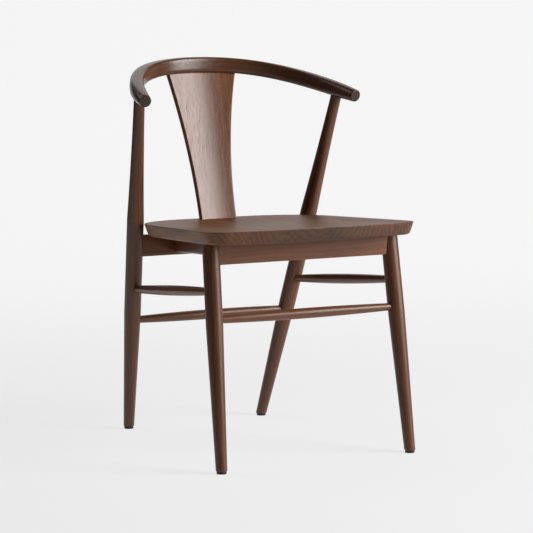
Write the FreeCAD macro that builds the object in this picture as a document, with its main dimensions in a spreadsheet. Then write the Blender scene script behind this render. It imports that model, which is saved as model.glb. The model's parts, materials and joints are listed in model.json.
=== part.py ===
import FreeCAD, Part
import math
import os
from types import SimpleNamespace

import Sketcher
from FreeCAD import Placement, Rotation, Vector

# A solid wood dining armchair: turned front legs, turned rear posts that run
# from the floor up to a bent bow, a plain tapered back splat and a dished seat.
# It faces -Y, +Z is up, the floor is z = 0 and the chair mirrors across x = 0.
# A "reach" is a distance in front of or behind the origin, a "spread" is a
# distance between the left and right centre lines, a "height" is above the floor,
# and a "rise" or a "drop" is counted from the seat's underside at the origin.
DRIVING = {
    # Front legs, turned, splayed out and forward.
    "front_foot_spread": 421.0,
    "front_foot_reach": 244.0,
    "leg_top_spread": 397.5,
    "leg_top_reach": 180.9,
    "leg_dia": 33.0,
    "leg_taper_length": 276.0,
    # Rear posts, turned, from the floor to the bow.
    "rear_foot_spread": 314.0,
    "rear_foot_reach": 261.0,
    "post_top_share": 0.861,
    "post_dia": 34.0,
    "post_taper_length": 262.0,
    "post_neck_start": 470.0,
    "post_neck_middle": 625.0,
    "post_neck_dia": 24.4,
    "post_top_dia": 21.5,
    "post_tenon_dia": 13.0,
    "post_tenon_rise": 5.0,
    # Feet of all four legs, with a nailed nylon glide under each.
    "foot_dia": 21.6,
    "glide_dia": 19.0,
    "glide_thick": 5.0,
    "nail_dia": 3.0,
    "nail_head_dia": 8.0,
    "nail_head_thick": 1.0,
    "nail_head_sink": 0.5,
    "nail_length": 20.0,
    # Seat, a glued board that tilts back, with undercut sides and a shallow dish.
    "seat_under_height": 420.5,
    "seat_tilt": 2.37,
    "seat_thick": 25.0,
    "seat_front_reach": 272.4,
    "seat_back_reach": 184.5,
    "seat_front_width": 470.0,
    "seat_back_width": 393.0,
    "seat_front_bow_radius": 1000.0,
    "seat_front_corner": 45.0,
    "seat_back_corner": 135.0,
    "seat_undercut": 8.0,
    "seat_lower_edge": 6.0,
    "seat_dish": 8.0,
    "seat_rim": 16.0,
    "seat_post_gap": 3.0,
    # Aprons under the seat.
    "apron_thick": 20.0,
    "front_apron_drop": 32.5,
    "rear_apron_drop": 49.0,
    "side_apron_rear_drop": 43.5,
    "side_apron_front_drop": 13.5,
    "side_apron_rear_spread": 198.0,
    "apron_edge": 2.0,
    "dowel_dia": 8.0,
    "dowel_length": 34.0,
    "front_dowel_low": 8.5,
    "front_dowel_high": 20.5,
    "rear_dowel_low": 12.0,
    "rear_dowel_high": 30.0,
    "side_dowel_low": 11.0,
    "side_dowel_high": 27.0,
    "side_dowel_drop": 9.0,
    "side_dowel_set_back": 6.0,
    # Stretchers between the legs, thickest at their middle.
    "stretcher_end_dia": 13.7,
    "stretcher_mid_dia": 20.4,
    "stretcher_tenon": 13.0,
    "stretcher_shoulder": 1.0,
    "front_stretcher_height": 285.5,
    "rear_stretcher_height": 236.5,
    "side_stretcher_front_height": 338.5,
    "side_stretcher_rear_height": 302.0,
    # Corner blocks and their screws.
    "block_near": 22.0,
    "block_far": 62.0,
    "block_thick": 16.0,
    "screw_dia": 4.0,
    "screw_head_dia": 8.0,
    "screw_head_thick": 2.4,
    "screw_length": 30.0,
    "screw_grip": 16.0,
    "seat_screw_sink": 4.0,
    "front_screw_reach": 46.0,
    "rear_screw_reach": 36.0,
    # Bow, one bent piece, tall at the back and round at the arm ends.
    "bow_back_reach": 241.6,
    "bow_back_rise": 330.0,
    "bow_back_pull": 155.5,
    "bow_tip_spread": 477.6,
    "bow_tip_reach": 11.5,
    "bow_tip_rise": 268.9,
    "bow_tip_pull": 127.0,
    "bow_tip_angle": 11.6,
    "bow_bend_rise": 296.8,
    "bow_deep": 24.5,
    "bow_arm_deep": 29.5,
    "bow_tall": 31.4,
    "bow_tip_dia": 24.6,
    "bow_tip_edge": 1.2,
    # Back splat, a curved tapered board tenoned into the seat and the bow.
    "splat_thick": 11.0,
    "splat_foot_inset": 27.8,
    "splat_foot_rise": 19.5,
    "splat_top_drop": 16.0,
    "splat_top_inset": 0.9,
    "splat_hollow": 4.0,
    "splat_foot_width": 80.4,
    "splat_top_width": 156.4,
    "splat_bend_radius": 290.0,
    "splat_edge": 1.5,
    "splat_seat_tenon": 13.0,
    "splat_bow_tenon": 10.0,
    # Glue-line clearance round every tenon, dowel, nail and coped end.
    "clearance": 0.2,
}


class Size:
    """A number that keeps the sheet formula it comes from."""

    def __init__(self, number, formula):
        self.number = float(number)
        self.formula = formula

    def __float__(self):
        return self.number

    def join(self, sign, other, number):
        text = other.formula if isinstance(other, Size) else repr(float(other))
        return Size(number, f"({self.formula} {sign} {text})")

    def __add__(self, other):
        return self.join("+", other, self.number + float(other))

    def __sub__(self, other):
        return self.join("-", other, self.number - float(other))

    def __mul__(self, other):
        return self.join("*", other, self.number * float(other))

    def __truediv__(self, other):
        return self.join("/", other, self.number / float(other))

    def __rsub__(self, other):
        return Size(float(other) - self.number, f"({float(other)!r} - {self.formula})")


doc = FreeCAD.newDocument("wood_armchair")
sheet = doc.addObject("Spreadsheet::Sheet", "Sizes")
for row, (word, number) in enumerate(DRIVING.items(), start=1):
    sheet.set(f"A{row}", word.replace("_", " "))
    sheet.set(f"B{row}", str(number))
    sheet.setAlias(f"B{row}", word)
doc.recompute()
size = SimpleNamespace(**{word: Size(sheet.get(word), f"Sizes.{word}") for word in DRIVING})

LEFT, RIGHT = -1, 1
SIDES = {"left": LEFT, "right": RIGHT}
UP = Vector(0, 0, 1)
OVERSHOOT = 30.0
parts = {}


def num(value):
    return float(value)


def above_seat(rise):
    """Height above the floor of something counted from the seat's underside."""
    return num(size.seat_under_height) + num(rise)


def below_seat(drop):
    return num(size.seat_under_height) - num(drop)


def bind(thing, **properties):
    """Set properties of an object, a size through its sheet formula."""
    for name, value in properties.items():
        if isinstance(value, Size):
            thing.setExpression(name, value.formula)
        else:
            setattr(thing, name, value)
    return thing


def finish(label, thing):
    """Name an object as a sub-part of the chair."""
    thing.Label = label
    parts[label] = thing
    return thing


def along(start, end):
    """Placement whose +Z runs from one point towards another."""
    return Placement(start, Rotation(UP, end - start))


def shaped(name, shape, placement=None):
    thing = doc.addObject("Part::Feature", name)
    thing.Shape = shape
    if placement:
        thing.Placement = placement
    return thing


def rod(name, start, end, diameter, length):
    """A round bar from start, pointing at end."""
    bar = bind(doc.addObject("Part::Cylinder", name), Radius=diameter / 2, Height=length)
    bar.Placement = along(start, end)
    return bar


def joined(name, things):
    group = doc.addObject("Part::MultiFuse", name)
    group.Shapes = things
    return group


def cut(name, base, tools):
    """The base with every tool taken away from it."""
    result = doc.addObject("Part::Cut", name)
    result.Base = base
    result.Tool = tools[0] if len(tools) == 1 else joined(name + "_tools", tools)
    return result


def origin_plane(body, role):
    return next(item for item in body.Origin.OriginFeatures if item.Role == role)


def turned(name, stations, placement):
    """A turned body: stations are (length along the axis, radius, straight or arc).

    A station marked "arc" is the middle of an arc between its two neighbours.
    """
    body = doc.addObject("PartDesign::Body", name)
    sketch = body.newObject("Sketcher::SketchObject", name + "_profile")
    sketch.AttachmentSupport = [(origin_plane(body, "XZ_Plane"), "")]
    sketch.MapMode = "FlatFace"
    points = [Vector(num(radius), num(length), 0) for length, radius, _ in stations]
    corners = [index for index, station in enumerate(stations) if station[2] != "arc"]
    ends = []
    for first, second in zip(corners, corners[1:]):
        if second - first == 2:
            curve = Part.Arc(points[first], points[first + 1], points[second])
            edge = sketch.addGeometry(curve, False)
            centre = curve.toShape().Curve.Center
            backwards = (points[first] - centre).cross(points[second] - centre).z < 0
            ends.append((edge, (2, 1) if backwards else (1, 2)))
        else:
            edge = sketch.addGeometry(Part.LineSegment(points[first], points[second]), False)
            ends.append((edge, (1, 2)))
    foot = Vector(0, points[0].y, 0)
    head = Vector(0, points[-1].y, 0)
    for start, end in ((points[-1], head), (head, foot), (foot, points[0])):
        ends.append((sketch.addGeometry(Part.LineSegment(start, end), False), (1, 2)))
    for (edge, tips), (after, after_tips) in zip(ends, ends[1:] + ends[:1]):
        sketch.addConstraint(Sketcher.Constraint("Coincident", edge, tips[1], after, after_tips[0]))
    head_line, axis_line, foot_line = (edge for edge, _ in ends[-3:])
    sketch.addConstraint(Sketcher.Constraint("Horizontal", head_line))
    sketch.addConstraint(Sketcher.Constraint("Horizontal", foot_line))
    sketch.addConstraint(Sketcher.Constraint("PointOnObject", axis_line, 1, -2))
    sketch.addConstraint(Sketcher.Constraint("PointOnObject", axis_line, 2, -2))

    def pin(edge, tip, length, radius):
        for kind, value in (("DistanceX", radius), ("DistanceY", length)):
            index = sketch.addConstraint(
                Sketcher.Constraint(kind, -1, 1, edge, tip, num(value)))
            if isinstance(value, Size):
                sketch.setExpression(f"Constraints[{index}]", value.formula)

    profile = ends[:-3]
    for (edge, tips), corner in zip(profile, corners):
        pin(edge, tips[0], *stations[corner][:2])
    pin(profile[-1][0], profile[-1][1][1], *stations[-1][:2])
    for (edge, tips), first, second in zip(profile, corners, corners[1:]):
        if second - first == 2:
            middle = sketch.addGeometry(Part.Point(points[first + 1]), True)
            pin(middle, 1, *stations[first + 1][:2])
            sketch.addConstraint(Sketcher.Constraint("PointOnObject", middle, 1, edge))
    spin = body.newObject("PartDesign::Revolution", name + "_turning")
    spin.Profile = sketch
    spin.ReferenceAxis = (sketch, ["V_Axis"])
    spin.Angle = 360
    body.Tip = spin
    body.Placement = placement
    return body


# The bow is level at the back, and falls and closes towards the arm ends.
def bow_line():
    """The right half of the bow's centre line, from the middle of the back to the arm end."""
    angle = math.radians(num(size.bow_tip_angle))
    tip = Vector(num(size.bow_tip_spread) / 2, num(size.bow_tip_reach), above_seat(size.bow_tip_rise))
    bend = tip + Vector(-math.sin(angle), math.cos(angle), 0) * num(size.bow_tip_pull)
    bend.z = above_seat(size.bow_bend_rise)
    back = Vector(0, num(size.bow_back_reach), above_seat(size.bow_back_rise))
    half = Part.BezierCurve()
    half.setPoles([back, back + Vector(num(size.bow_back_pull), 0, 0), bend, tip])
    return half


# Centre lines of the legs and posts. The feet are points on the floor.
def leg_line(side):
    foot = Vector(side * num(size.front_foot_spread) / 2, -num(size.front_foot_reach), 0)
    top = Vector(side * num(size.leg_top_spread) / 2, -num(size.leg_top_reach),
                 num(size.seat_under_height))
    return foot, top


def post_line(side):
    foot = Vector(side * num(size.rear_foot_spread) / 2, num(size.rear_foot_reach), 0)
    meeting = bow_line().value(num(size.post_top_share))
    return foot, Vector(side * meeting.x, meeting.y, meeting.z)


def at_height(line, height):
    foot, top = line
    return foot + (top - foot) * (height / top.z)


# The seat's underside is a plane through the X axis at seat_under_height,
# lower at the back. Everything below the seat is trimmed to it.
seat_frame = Placement(Vector(0, 0, num(size.seat_under_height)),
                       Rotation(Vector(1, 0, 0), -num(size.seat_tilt)))


def under_seat(y):
    """Height of the seat's underside at a distance behind the origin."""
    return num(size.seat_under_height) - y * math.tan(math.radians(num(size.seat_tilt)))


def seat_space(name):
    """The room above the seat's underside, as a tool that trims what stands below."""
    room = bind(doc.addObject("Part::Box", name), Length=size.front_foot_spread * 2,
                Width=size.rear_foot_reach * 4, Height=size.seat_thick * 4)
    corner = Vector(-num(size.front_foot_spread), -num(size.rear_foot_reach) * 2, 0)
    room.Placement = seat_frame * Placement(corner, Rotation())
    return room


def floor_space(name, centre):
    """The room taken by a foot glide, which trims the foot level above it."""
    room = bind(doc.addObject("Part::Cylinder", name), Radius=size.leg_dia * 2)
    room.Height = OVERSHOOT + num(size.glide_thick)
    room.Placement = Placement(Vector(centre.x, centre.y, -OVERSHOOT), Rotation())
    return room


# The bow's section is a rounded rectangle at the back and a circle at the arm ends.
# It is full over the back and the arms, and narrows over the arms' last part.
BOW_STATIONS = 16
SECTION_POINTS = 24
BACK_SQUARENESS = 5.0
TIP_SQUARENESS = 2.0
ARM_FULL_SHARE = 0.8
NARROWING = 10


def bow_section(side, share, growth):
    """The bow's outline across its length, at a share of the way to an arm end."""
    half = bow_line()
    centre = half.value(share)
    run = half.tangent(share)[0]
    inward = Vector(run.y, -run.x, 0).normalize()
    upward = inward.cross(run).normalize()
    if upward.z < 0:
        upward = -upward
    swell = min(share / ARM_FULL_SHARE, 1.0) ** 2
    deep = num(size.bow_deep) * (1 - swell) + num(size.bow_arm_deep) * swell
    narrowed = share ** NARROWING
    deep += (num(size.bow_tip_dia) - deep) * narrowed
    tall = num(size.bow_tall) * (1 - narrowed) + num(size.bow_tip_dia) * narrowed
    power = BACK_SQUARENESS * (1 - share) + TIP_SQUARENESS * share
    points = []
    for step in range(SECTION_POINTS):
        turn = 2 * math.pi * step / SECTION_POINTS
        across = math.copysign(abs(math.cos(turn)) ** (2 / power), math.cos(turn))
        rise = math.copysign(abs(math.sin(turn)) ** (2 / power), math.sin(turn))
        point = (centre + inward * (across * (deep / 2 + growth))
                 + upward * (rise * (tall / 2 + growth)))
        points.append(Vector(side * point.x, point.y, point.z))
    loop = Part.BSplineCurve()
    loop.interpolate(Points=points, PeriodicFlag=True)
    return Part.Wire(loop.toShape())


def bow_blank(growth=0.0):
    shares = [index / BOW_STATIONS for index in range(BOW_STATIONS + 1)]
    sections = [bow_section(LEFT, share, growth) for share in reversed(shares[1:])]
    sections += [bow_section(RIGHT, share, growth) for share in shares]
    return Part.makeLoft(sections, True, False)


# Splat: its front face is bent to an arc in plan, leans back and is slightly
# hollow, and its sides open out upwards as a parabola.
SPLAT_STATIONS = 7


SPLAT_FOOT = above_seat(size.splat_foot_rise)
SPLAT_TOP = above_seat(size.bow_back_rise) - num(size.splat_top_drop)


def splat_section(height, growth):
    share = (height - SPLAT_FOOT) / (SPLAT_TOP - SPLAT_FOOT)
    foot = num(size.seat_back_reach) - num(size.splat_foot_inset)
    top = num(size.bow_back_reach) - num(size.splat_thick) / 2 + num(size.splat_top_inset)
    hollow = num(size.splat_hollow) * share * (1 - share)
    front = foot + (top - foot) * share + hollow
    widening = num(size.splat_top_width) - num(size.splat_foot_width)
    half_width = (num(size.splat_foot_width) + widening * share ** 2) / 2 + growth
    radius = num(size.splat_bend_radius)
    centre = front - radius
    outer = radius + num(size.splat_thick) + growth
    inner = radius - growth
    spread = math.asin(half_width / radius)

    def point(distance, turn):
        return Vector(distance * math.sin(turn), centre + distance * math.cos(turn), height)

    corners = [point(inner, -spread), point(inner, spread), point(outer, spread), point(outer, -spread)]
    return Part.Wire([
        Part.Arc(corners[0], point(inner, 0), corners[1]).toShape(),
        Part.LineSegment(corners[1], corners[2]).toShape(),
        Part.Arc(corners[2], point(outer, 0), corners[3]).toShape(),
        Part.LineSegment(corners[3], corners[0]).toShape(),
    ])


def splat_board(growth=0.0):
    low = SPLAT_FOOT - num(size.splat_seat_tenon) - growth
    high = SPLAT_TOP + num(size.splat_bow_tenon) + growth
    heights = [low + (high - low) * step / SPLAT_STATIONS for step in range(SPLAT_STATIONS + 1)]
    board = Part.makeLoft([splat_section(height, growth) for height in heights], True, False)
    if growth:
        return board
    rims = [edge for edge in board.Edges
            if abs(edge.Vertexes[0].Z - edge.Vertexes[-1].Z) > (high - low) / 2]
    return board.makeFillet(num(size.splat_edge), rims)


# Feet: a nylon disc under each leg, held by a nail driven up into the leg.
glides = {}
for place, line in {"front": leg_line, "rear": post_line}.items():
    for word, side in SIDES.items():
        foot = at_height(line(side), num(size.glide_thick))
        glides[f"{place}_{word}"] = Vector(foot.x, foot.y, 0)


def nail_hole(name, centre):
    """Pilot hole up the foot for the glide's nail."""
    return rod(name, centre, centre + UP, size.nail_dia + size.clearance,
               size.nail_length + size.clearance)


for place, centre in glides.items():
    disc = rod(f"{place}_glide_disc", centre, centre + UP, size.glide_dia, size.glide_thick)
    head_room = rod(f"{place}_glide_sink", centre, centre + UP, size.nail_head_dia + size.clearance,
                    size.nail_head_sink + size.nail_head_thick)
    hole = rod(f"{place}_glide_hole", centre, centre + UP,
               size.nail_dia + size.clearance, size.glide_thick * 2)
    finish(f"foot_glide_{place}", cut(f"{place}_glide", disc, [head_room, hole]))
nails = []
for place, centre in glides.items():
    low = centre + UP * num(size.nail_head_sink)
    head = rod(f"{place}_nail_head", low, low + UP, size.nail_head_dia, size.nail_head_thick)
    shank = rod(f"{place}_nail_shank", low, low + UP, size.nail_dia,
                size.nail_length - size.nail_head_sink)
    nails.append(joined(f"{place}_nail", [head, shank]))


def group(name, things):
    """Identical small pieces, kept as separate solids in one sub-part."""
    bundle = doc.addObject("Part::Compound", name)
    bundle.Links = things
    return bundle


finish("glide_nails", group("glide_nails_group", nails))


# Stretchers: turned rods whose ends are glued into round holes in the legs.
def stretcher_ends():
    front = {side: at_height(leg_line(side), num(size.front_stretcher_height)) for side in SIDES.values()}
    rear = {side: at_height(post_line(side), num(size.rear_stretcher_height)) for side in SIDES.values()}
    rows = {
        "front_stretcher": (front[LEFT], front[RIGHT]),
        "rear_stretcher": (rear[LEFT], rear[RIGHT]),
    }
    for word, side in SIDES.items():
        rows[f"side_stretcher_{word}"] = (
            at_height(leg_line(side), num(size.side_stretcher_front_height)),
            at_height(post_line(side), num(size.side_stretcher_rear_height)))
    return rows


# A stretcher's tenon stops this far short of the leg's centre line, and the
# stretcher swells from a shoulder just outside the leg.
TENON_TIP = size.leg_dia / 2 - size.stretcher_tenon
SHOULDER = size.leg_dia / 2 + size.stretcher_shoulder
for label, (start, end) in stretcher_ends().items():
    length = (end - start).Length
    end_radius = size.stretcher_end_dia / 2
    stations = [
        (TENON_TIP, end_radius, "line"),
        (SHOULDER, end_radius, "line"),
        (length / 2, size.stretcher_mid_dia / 2, "arc"),
        (length - SHOULDER, end_radius, "line"),
        (length - TENON_TIP, end_radius, "line"),
    ]
    finish(label, turned(label + "_body", stations, along(start, end)))


def stretcher_socket(name, start, end):
    """Hole for a stretcher's end, from its tenon's tip outwards."""
    tip = start + (end - start).normalize() * num(TENON_TIP - size.clearance)
    return rod(name, tip, end, size.stretcher_end_dia + size.clearance * 2, size.leg_dia)


# Aprons: the front one stands between the leg centre lines, the rear one
# between the posts, and the side ones run in from the front legs to the rear one.
def apron_end(place):
    """Where an apron's middle line meets the right leg or post."""
    if place == "front":
        return at_height(leg_line(RIGHT), below_seat(size.front_apron_drop / 2))
    return at_height(post_line(RIGHT), below_seat(size.rear_apron_drop / 2))


FRONT_APRON, REAR_APRON = apron_end("front"), apron_end("rear")
APRON_HALF = num(size.apron_thick) / 2


def dowel_row(name, start, direction, heights):
    """Dowels centred on a joint face: two lengths of hole and the pins in them."""
    pins, holes = [], []
    for index, height in enumerate(heights):
        middle = Vector(start.x, start.y, height)
        low = middle - direction * (num(size.dowel_length) / 2)
        hole_low = low - direction * num(size.clearance)
        pins.append(rod(f"{name}_pin_{index}", low, low + direction, size.dowel_dia, size.dowel_length))
        holes.append((hole_low, hole_low + direction))
    return pins, holes


def dowel_holes(name, holes):
    return [rod(f"{name}_hole_{index}", low, high, size.dowel_dia + size.clearance * 2,
                size.dowel_length + size.clearance * 2)
            for index, (low, high) in enumerate(holes)]


def leg_cope(name, line, diameter):
    """The leg's own round shape, which hollows the end of an apron to fit."""
    foot, top = line
    return rod(name, foot, top, diameter + size.clearance * 2, (top - foot).Length * 1.2)


def cross_apron(place, middle, drop, line, diameter, heights):
    """An apron that runs straight across the chair between two legs."""
    lower_edge = below_seat(drop)
    board = bind(doc.addObject("Part::Box", f"{place}_apron_board"), Width=size.apron_thick)
    board.Length = 2 * middle.x
    board.Height = num(drop) + OVERSHOOT
    board.Placement = Placement(Vector(-middle.x, middle.y - APRON_HALF, lower_edge), Rotation())
    soft = doc.addObject("Part::Chamfer", f"{place}_apron_soft")
    soft.Base = board
    doc.recompute()
    low_edges = [index + 1 for index, edge in enumerate(board.Shape.Edges)
                 if edge.BoundBox.ZMax < lower_edge + 1 and edge.BoundBox.XLength > middle.x]
    ease = num(size.apron_edge)
    soft.Edges = [(index, ease, ease) for index in low_edges]
    tools = [seat_space(f"{place}_apron_trim")]
    pins, holes = [], {}
    for word, side in SIDES.items():
        tools.append(leg_cope(f"{place}_apron_cope_{word}", line(side), diameter))
        face = Vector(side * (middle.x - num(diameter) / 2), middle.y, 0)
        name = f"{place}_apron_dowel_{word}"
        side_pins, side_holes = dowel_row(name, face, Vector(-side, 0, 0), heights)
        pins += side_pins
        holes[side] = side_holes
        tools += dowel_holes(name + "_in_apron", side_holes)
    return soft, tools, pins, holes


def dowel_heights(drop, *rises):
    return [below_seat(drop) + num(rise) for rise in rises]


front_board, front_tools, front_pins, front_holes = cross_apron(
    "front", FRONT_APRON, size.front_apron_drop, leg_line, size.leg_dia,
    dowel_heights(size.front_apron_drop, size.front_dowel_low, size.front_dowel_high))
rear_board, rear_tools, rear_pins, rear_holes = cross_apron(
    "rear", REAR_APRON, size.rear_apron_drop, post_line, size.post_dia,
    dowel_heights(size.rear_apron_drop, size.rear_dowel_low, size.rear_dowel_high))


def side_apron_frame(side):
    """Front and rear ends of a side apron's centre line, and its unit direction."""
    front = Vector(side * FRONT_APRON.x, FRONT_APRON.y, 0)
    rear = Vector(side * num(size.side_apron_rear_spread) / 2, REAR_APRON.y - APRON_HALF, 0)
    return front, rear, (rear - front).normalize()


def side_apron_board(name, side):
    """A tapered board, deeper at the back, standing on its centre line."""
    front, rear, run = side_apron_frame(side)
    length = (rear - front).Length
    spare = num(size.apron_thick)
    heights = below_seat(size.side_apron_front_drop), below_seat(size.side_apron_rear_drop)
    slope = (heights[1] - heights[0]) / length
    top = num(size.seat_under_height) + OVERSHOOT
    across = Vector(-run.y, run.x, 0) * APRON_HALF
    low_front = front + UP * heights[0] - across
    low_rear = rear + run * spare + UP * (heights[1] + slope * spare) - across
    outline = [low_front, low_rear,
               Vector(low_rear.x, low_rear.y, top), Vector(low_front.x, low_front.y, top)]
    face = Part.Face(Part.makePolygon(outline + outline[:1]))
    solid = face.extrude(across * 2)
    edges = [edge for edge in solid.Edges
             if edge.Length > length / 2 and edge.BoundBox.ZMax < top - 1]
    return shaped(name, solid.makeChamfer(num(size.apron_edge), edges))


side_holes_front, side_holes_rear, side_pins = {}, {}, {}
for word, side in SIDES.items():
    front, rear, run = side_apron_frame(side)
    name = f"side_apron_{word}"
    board = side_apron_board(name + "_board", side)
    leg_face = front + run * (num(size.leg_dia) / 2)
    front_height = under_seat(leg_face.y) - num(size.side_dowel_drop)
    pins, side_holes_front[side] = dowel_row(name + "_front", leg_face, run, [front_height])
    rear_face = rear - run * num(size.side_dowel_set_back)
    rear_heights = dowel_heights(size.side_apron_rear_drop, size.side_dowel_low, size.side_dowel_high)
    more, side_holes_rear[side] = dowel_row(name + "_rear", rear_face, run, rear_heights)
    side_pins[side] = pins + more
    beyond = bind(doc.addObject("Part::Box", name + "_rear_trim"), Length=size.rear_foot_spread * 2,
                  Width=size.apron_thick * 2, Height=size.seat_under_height * 2)
    beyond.Placement = Placement(
        Vector(-num(size.rear_foot_spread), REAR_APRON.y - APRON_HALF, 0), Rotation())
    ahead = bind(doc.addObject("Part::Box", name + "_front_trim"), Length=size.front_foot_spread * 2,
                 Width=size.apron_thick * 2, Height=size.seat_under_height * 2)
    ahead.Placement = Placement(
        Vector(-num(size.front_foot_spread), FRONT_APRON.y + APRON_HALF - 2 * num(size.apron_thick), 0),
        Rotation())
    tools = [seat_space(name + "_trim"), beyond, ahead,
             leg_cope(name + "_cope", leg_line(side), size.leg_dia)]
    tools += dowel_holes(name + "_front_in_apron", side_holes_front[side])
    tools += dowel_holes(name + "_rear_in_apron", side_holes_rear[side])
    parts[name] = (board, tools)
    rear_tools += dowel_holes(name + "_in_rear_apron", side_holes_rear[side])


# Corner blocks: glued and screwed between neighbouring aprons, flush with
# their tops, each with one more screw up into the seat.
def corner_frame(place, side):
    """Inner corner between two aprons, and the unit directions along them."""
    front, rear, run = side_apron_frame(side)
    inward = Vector(-side, 0, 0)
    across = Vector(run.y, -run.x, 0)
    if across.dot(inward) < 0:
        across = -across
    inner = front + across * APRON_HALF
    face_y = FRONT_APRON.y + APRON_HALF if place == "front" else REAR_APRON.y - APRON_HALF
    corner = inner + run * ((face_y - inner.y) / run.y)
    return corner, inward, run if place == "front" else -run, across


block_screws, seat_screws = [], []
seat_pilots, front_pilots, rear_pilots = [], [], []
side_pilots = {LEFT: [], RIGHT: []}


def screw(name, head, direction):
    """A pan head wood screw whose shank starts under its head."""
    crown = rod(name + "_head", head - direction * num(size.screw_head_thick), head,
                size.screw_head_dia, size.screw_head_thick)
    root = head - direction * (num(size.screw_head_thick) / 2)
    shank = rod(name + "_shank", root, head, size.screw_dia,
                size.screw_length + size.screw_head_thick / 2)
    return joined(name, [crown, shank])


def screw_hole(name, head, direction):
    start = head - direction * num(size.screw_head_thick)
    return rod(name, start, head, size.screw_dia + size.clearance * 2,
               size.screw_length + size.screw_head_thick + size.clearance)


def screw_sink(name, head, direction):
    """Counterbore that lets the screw's head into the block."""
    start = head - direction * OVERSHOOT
    return rod(name, start, head, size.screw_head_dia + size.clearance * 4, OVERSHOOT)


for place in ("front", "rear"):
    for word, side in SIDES.items():
        name = f"corner_block_{place}_{word}"
        corner, inward, run, across = corner_frame(place, side)
        near, far = num(size.block_near), num(size.block_far)
        plan = [corner + inward * near, corner + inward * far, corner + run * far, corner + run * near]
        low = under_seat(corner.y) - num(size.block_thick)
        ring = [Vector(point.x, point.y, low) for point in plan]
        block = shaped(name + "_blank",
                       Part.Face(Part.makePolygon(ring + ring[:1])).extrude(UP * OVERSHOOT * 2))
        tools = [seat_space(name + "_trim")]
        screw_height = low + num(size.block_thick) / 2
        normal = Vector(0, 1 if place == "front" else -1, 0)
        reach = num(size.front_screw_reach if place == "front" else size.rear_screw_reach)
        for tag, spot, out in (("cross", corner + inward * reach, normal),
                               ("side", corner + run * reach, across)):
            head = Vector(spot.x, spot.y, screw_height) + out * num(size.screw_grip)
            block_screws.append(screw(f"{name}_{tag}_screw", head, -out))
            tools.append(screw_hole(f"{name}_{tag}_bore", head, -out))
            tools.append(screw_sink(f"{name}_{tag}_sink", head, -out))
            pilot = screw_hole(f"{name}_{tag}_pilot", head, -out)
            if tag == "side":
                side_pilots[side].append(pilot)
            elif place == "front":
                front_pilots.append(pilot)
            else:
                rear_pilots.append(pilot)
        spot = corner + (inward + run) * ((near + far) / 4)
        head = Vector(spot.x, spot.y, low + num(size.seat_screw_sink))
        seat_screws.append(screw(name + "_seat_screw", head, UP))
        tools.append(screw_hole(name + "_seat_bore", head, UP))
        tools.append(screw_sink(name + "_seat_sink", head, UP))
        seat_pilots.append(screw_hole(name + "_seat_pilot", head, UP))
        finish(name, cut(name + "_cut", block, tools))

finish("corner_block_screws", group("corner_block_screw_group", block_screws))
finish("seat_screws", group("seat_screw_group", seat_screws))
finish("front_apron_dowels", group("front_apron_dowel_group", front_pins))
finish("rear_apron_dowels", group("rear_apron_dowel_group", rear_pins))
finish("front_apron", cut("front_apron_cut", front_board, front_tools + front_pilots))
finish("rear_apron", cut("rear_apron_cut", rear_board, rear_tools + rear_pilots))
for word, side in SIDES.items():
    name = f"side_apron_{word}"
    board, tools = parts.pop(name)
    finish(name, cut(name + "_cut", board, tools + side_pilots[side]))
    finish(f"{name}_dowels", group(name + "_dowel_group", side_pins[side]))


# Front legs: straight down to the taper, trimmed level at the foot and to the
# seat's underside at the top.
rows = stretcher_ends()
for word, side in SIDES.items():
    name = f"front_leg_{word}"
    foot, top = leg_line(side)
    stations = [
        (-OVERSHOOT / 2, size.foot_dia / 2, "line"),
        (0.0, size.foot_dia / 2, "line"),
        (size.leg_taper_length, size.leg_dia / 2, "line"),
        (size.seat_under_height + OVERSHOOT, size.leg_dia / 2, "line"),
    ]
    blank = turned(name + "_turning", stations, along(foot, top))
    side_row = rows[f"side_stretcher_{word}"]
    front_row = rows["front_stretcher"] if side == LEFT else rows["front_stretcher"][::-1]
    tools = [
        seat_space(name + "_trim"),
        floor_space(name + "_foot_trim", glides[f"front_{word}"]),
        nail_hole(name + "_nail", glides[f"front_{word}"]),
        stretcher_socket(name + "_front_socket", *front_row),
        stretcher_socket(name + "_side_socket", *side_row),
    ]
    tools += dowel_holes(name + "_front_dowel", front_holes[side])
    tools += dowel_holes(name + "_side_dowel", side_holes_front[side])
    finish(name, cut(name + "_cut", blank, tools))

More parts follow.
